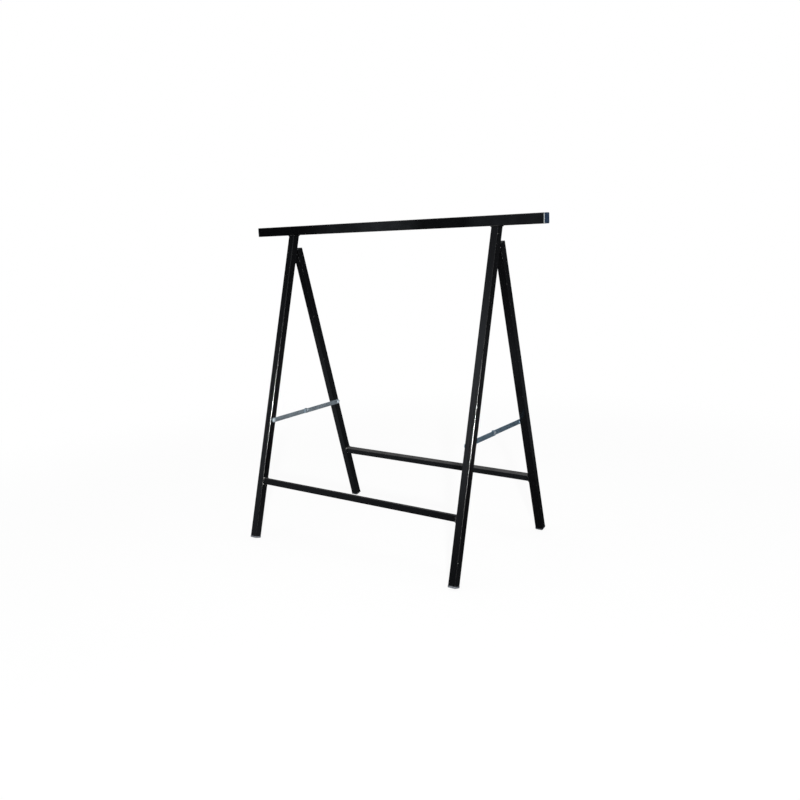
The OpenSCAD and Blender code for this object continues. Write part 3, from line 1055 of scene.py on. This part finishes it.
class TRESTLE_OT_mould_feet(bpy.types.Operator):
    """Gives the feet and the rear legs' top caps their black plastic"""

    bl_idname = "trestle.mould_feet"
    bl_label = "Mould the Feet"

    def execute(self, context):
        plastic = settings("trestle_plastic")
        scuffs = {
            "front_foot_cap": foot_scuff(FRONT, amount=0.85),
            "rear_foot_cap": foot_scuff(REAR, amount=0.6),
            "rear_top_cap": 0.0,
        }
        for name, scuff_and_highlight in scuffs.items():
            finish = moulded_material(f"{name}_plastic", plastic.foot_colour, plastic.scuff_colour, scuff_and_highlight)
            dress(finish, *pair(name))
        return {"FINISHED"}


class TRESTLE_OT_mould_beam_caps(bpy.types.Operator):
    """Gives the beam's end caps their blue-grey plastic, with a painted highlight on their front edges"""

    bl_idname = "trestle.mould_beam_caps"
    bl_label = "Mould the Beam Caps"

    def execute(self, context):
        plastic = settings("trestle_plastic")
        colours = (plastic.cap_colour, plastic.cap_edge_highlight_colour)
        # The front-edge mask paints a pale highlight on the caps.
        dress(moulded_material("beam_cap_plastic", *colours, front_edge_highlight), *pair("beam_end_cap"))
        return {"FINISHED"}


# Stage

WHITE = (1.0, 1.0, 1.0, 1.0)
PALE = (0.8, 0.8, 0.8, 1.0)
SENSOR_WIDTH = 36.0
FARTHEST_SEEN = 200.0
# How far the floor lies below the feet, and where its shadow ends and is full, from the middle
FLOOR_DEPTH = 0.2 * MM
SHADOW_END, SHADOW_FULL = 2.6, 1.0
# What the gloss mirrors: levels of the floor by metres from its darkest place, and of the wall and ceiling
# by metres up a slope
FLOOR_DARKEST = (0.6, 0.1, 0.0)
FLOOR_LEVELS = (
    (0.0, 0.017), (0.3, 0.022), (0.6, 0.034), (1.0, 0.059), (1.3, 0.0826), (4.0, 0.0708),
    (7.0, 0.0401), (9.6, 0.0295),
)
WALL_SLOPE = (-0.49, 0.15, 0.94)
WALL_LEVELS = (
    (-4.0, 0.0295), (1.6, 0.0496), (2.0, 0.0708), (2.6, 0.189), (3.2, 0.31), (3.6, 0.365),
    (4.2, 0.34), (4.7, 0.42), (5.1, 0.312), (5.7, 0.163), (6.2, 0.098), (12.0, 0.26),
)
# The share of that light that each card gives, by metres along one axis
FLOOR_SHARES = ((-0.95, 0.45), (-0.74, 1.5), (-0.6, 1.8), (-0.2, 1.9), (0.1, 1.6), (0.4, 1.0))
WALL_SHARES = ((-6.45, 0.4), (-6.2, 1.0))


def background_share(tree):
    """1 for camera, glossy and transmission rays, which see the background, and 0 for the rest."""
    path = tree.nodes.new("ShaderNodeLightPath").outputs
    seen = calc("MAXIMUM", path["Is Camera Ray"], path["Is Glossy Ray"])
    return calc("MAXIMUM", seen, path["Is Transmission Ray"])


def mixed_shader(share, first, second):
    """A shader between the first node's and the second's."""
    inputs = {0: share, 1: first.outputs[0], 2: second.outputs[0]}
    return link_node("ShaderNodeMixShader", inputs)


def set_world(stage):
    """A white surround, with the light from all round at its own strength."""
    world = bpy.data.worlds.new("studio_world")
    bpy.context.scene.world = world
    tree = empty_nodes(world)
    light = add_node(tree, "ShaderNodeBackground", {"Color": WHITE, "Strength": stage.ambient})
    white = add_node(tree, "ShaderNodeBackground", {"Color": WHITE, "Strength": 1.0})
    mixed = mixed_shader(background_share(tree), light, white)
    add_node(tree, "ShaderNodeOutputWorld", {"Surface": mixed.outputs[0]})


def floor_material(stage):
    """A pale floor that is seen as white, and darker only where the trestle shades it."""
    material = bpy.data.materials.new("pale_floor")
    tree = empty_nodes(material)
    coordinates = tree.nodes.new("ShaderNodeTexCoord").outputs["Object"]
    distance = vector_measure("LENGTH", coordinates)
    shade = times(ease(distance, SHADOW_END, SHADOW_FULL), stage.floor_shade)
    pale = add_node(tree, "ShaderNodeBsdfDiffuse", {"Color": PALE})
    lit = add_node(tree, "ShaderNodeBsdfDiffuse", {"Color": WHITE})
    white = add_node(tree, "ShaderNodeEmission", {"Color": WHITE, "Strength": 1.0})
    seen = mixed_shader(shade, white, lit)
    mixed = mixed_shader(background_share(tree), pale, seen)
    add_node(tree, "ShaderNodeOutputMaterial", {"Surface": mixed.outputs[0]})
    return material


def level_ramp(measure, stops, tint_shares=(1.0, 1.0, 1.0)):
    """A colour that runs straight from each level given to the next over a measure."""
    low, high = stops[0][0], stops[-1][0]
    inputs = {"Value": measure, "From Min": low, "From Max": high}
    measured_share = link_node("ShaderNodeMapRange", inputs).outputs["Result"]
    ramp = link_node("ShaderNodeValToRGB", {0: measured_share})
    elements = ramp.color_ramp.elements
    for index, (measured, level) in enumerate(stops):
        place = (measured - low) / (high - low)
        stop = elements[index] if index < 2 else elements.new(place)
        stop.position = place
        stop.color = opaque(level * share for share in tint_shares)
    return ramp.outputs[0]


def card_material(name, operation, vector, levels, axis, shares):
    """A card that glows by the levels given over one measure of its coordinates and a vector.

    It gives the shares of that light that are stated along one axis.
    """
    material = bpy.data.materials.new(name)
    tree = empty_nodes(material)
    coordinates = tree.nodes.new("ShaderNodeTexCoord").outputs["Object"]
    measure = vector_measure(operation, coordinates, vector)
    inputs = {
        "Color": level_ramp(measure, levels, settings("trestle_stage").card_tint),
        "Strength": level_ramp(axes(coordinates)[axis], shares),
    }
    light = add_node(tree, "ShaderNodeEmission", inputs).outputs[0]
    add_node(tree, "ShaderNodeOutputMaterial", {"Surface": light})
    return material


def turned_surface(name, profile, material, steps=64):
    """A surface made by turning a profile of radii and heights about Z."""
    points, faces = [], []
    for radius, height in profile:
        for step in range(steps):
            angle = math.tau * step / steps
            points.append((radius * math.cos(angle), radius * math.sin(angle), height))
    for ring in range(len(profile) - 1):
        for step in range(steps):
            after = (step + 1) % steps
            low, high = ring * steps, (ring + 1) * steps
            faces.append((low + step, low + after, high + after, high + step))
    obj = mesh_object(name, points, [], faces)
    obj.data.materials.append(material)
    return obj


def set_floor(stage):
    """The floor under the feet, and the cards round it that only the gloss sees."""
    reach, height = stage.card_reach, stage.card_height
    floor_profile = [(stage.floor_reach, -FLOOR_DEPTH), (MM, -FLOOR_DEPTH)]
    floor = turned_surface("floor", floor_profile, floor_material(stage))
    glow = card_material("floor_card", "DISTANCE", FLOOR_DARKEST, FLOOR_LEVELS, "Y", FLOOR_SHARES)
    near = turned_surface("floor_card", [(MM, 0.0), (reach, 0.0)], glow)
    glow = card_material("wall_card", "DOT_PRODUCT", WALL_SLOPE, WALL_LEVELS, "X", WALL_SHARES)
    round_about = turned_surface("wall_card", [(reach, 0.0), (reach, height), (MM, height)], glow)
    for card in (near, round_about):
        for ray in ("camera", "diffuse", "transmission", "volume_scatter", "shadow"):
            setattr(card, f"visible_{ray}", False)


def aimed(place, aim):
    """The turn of a lamp or camera at a place that looks at its aim."""
    return (aim - place).to_track_quat("-Z", "Y")


def add_lamp(name, place, aim, size, power):
    """A square soft box at a place, turned to its aim."""
    lamp = bpy.data.lights.new(name, "AREA")
    lamp.shape = "SQUARE"
    lamp.size = size
    lamp.energy = power
    obj = add_to_scene(name, lamp)
    obj.location = place
    obj.rotation_euler = aimed(place, aim).to_euler()


def set_camera(stage):
    """The camera at the photograph's viewing angle."""
    camera = bpy.data.cameras.new("camera")
    camera.sensor_width = SENSOR_WIDTH
    camera.lens = stage.camera_lens
    camera.clip_end = FARTHEST_SEEN
    obj = add_to_scene("camera", camera)
    place, aim = Vector(stage.camera_place), Vector(stage.camera_aim)
    obj.location = place
    roll = Matrix.Rotation(stage.camera_roll, 3, "Z")
    obj.rotation_euler = (aimed(place, aim).to_matrix() @ roll).to_euler()
    bpy.context.scene.camera = obj


class TRESTLE_OT_set_stage(bpy.types.Operator):
    """Sets the camera, the lamps, the floor and the cards"""

    bl_idname = "trestle.set_stage"
    bl_label = "Set the Stage"

    def execute(self, context):
        stage = settings("trestle_stage")
        context.scene.view_settings.view_transform = "Standard"
        set_camera(stage)
        set_world(stage)
        set_floor(stage)
        centre = Vector((0.0, STAY_PIVOT.y, STAY_PIVOT.z))
        towards = Vector(stage.camera_place) - centre
        towards.z = 0.0
        flash = centre + towards.normalized() * stage.flash_distance
        flash.z = stage.flash_height
        add_lamp("flash", flash, centre, stage.flash_size, stage.flash_power)
        above = Vector((0.0, 0.0, stage.overhead_height))
        add_lamp("overhead", above, Vector((0.0, 0.0, 0.0)), stage.overhead_size, stage.overhead_power)
        return {"FINISHED"}


STEPS = (
    TRESTLE_OT_set_stage,
    TRESTLE_OT_enamel_frame,
    TRESTLE_OT_enamel_hinges,
    TRESTLE_OT_lay_welds,
    TRESTLE_OT_plate_stays,
    TRESTLE_OT_plate_rivets,
    TRESTLE_OT_mould_feet,
    TRESTLE_OT_mould_beam_caps,
)
SETTINGS = {
    "trestle_enamel": TrestleEnamelSettings,
    "trestle_zinc": TrestleZincSettings,
    "trestle_plastic": TrestlePlasticSettings,
    "trestle_welds": TrestleWeldSettings,
    "trestle_stage": TrestleStageSettings,
}


class TRESTLE_PT_finishes(bpy.types.Panel):
    """Lists the steps and their settings"""

    bl_idname = "TRESTLE_PT_finishes"
    bl_label = "Builders Trestle"
    bl_space_type = "VIEW_3D"
    bl_region_type = "UI"
    bl_category = "Trestle"

    def draw(self, context):
        for step in STEPS:
            self.layout.operator(step.bl_idname)
        for name, cls in SETTINGS.items():
            box = self.layout.box()
            for setting in cls.__annotations__:
                box.prop(getattr(context.scene, name), setting)


CLASSES = (*SETTINGS.values(), *STEPS, TRESTLE_PT_finishes)


def register():
    """Registers the classes and hangs the settings on the scene."""
    for cls in CLASSES:
        bpy.utils.register_class(cls)
    for name, cls in SETTINGS.items():
        setattr(bpy.types.Scene, name, PointerProperty(type=cls))


def unregister():
    """Takes the settings off the scene and the classes out again."""
    for name in SETTINGS:
        delattr(bpy.types.Scene, name)
    for cls in reversed(CLASSES):
        bpy.utils.unregister_class(cls)


def main():
    """Builds the looks in order."""
    register()
    bpy.ops.trestle.set_stage()
    bpy.ops.trestle.enamel_frame()
    bpy.ops.trestle.enamel_hinges()
    bpy.ops.trestle.lay_welds()
    bpy.ops.trestle.plate_stays()
    bpy.ops.trestle.plate_rivets()
    bpy.ops.trestle.mould_feet()
    bpy.ops.trestle.mould_beam_caps()


if __name__ == "__main__":
    main()
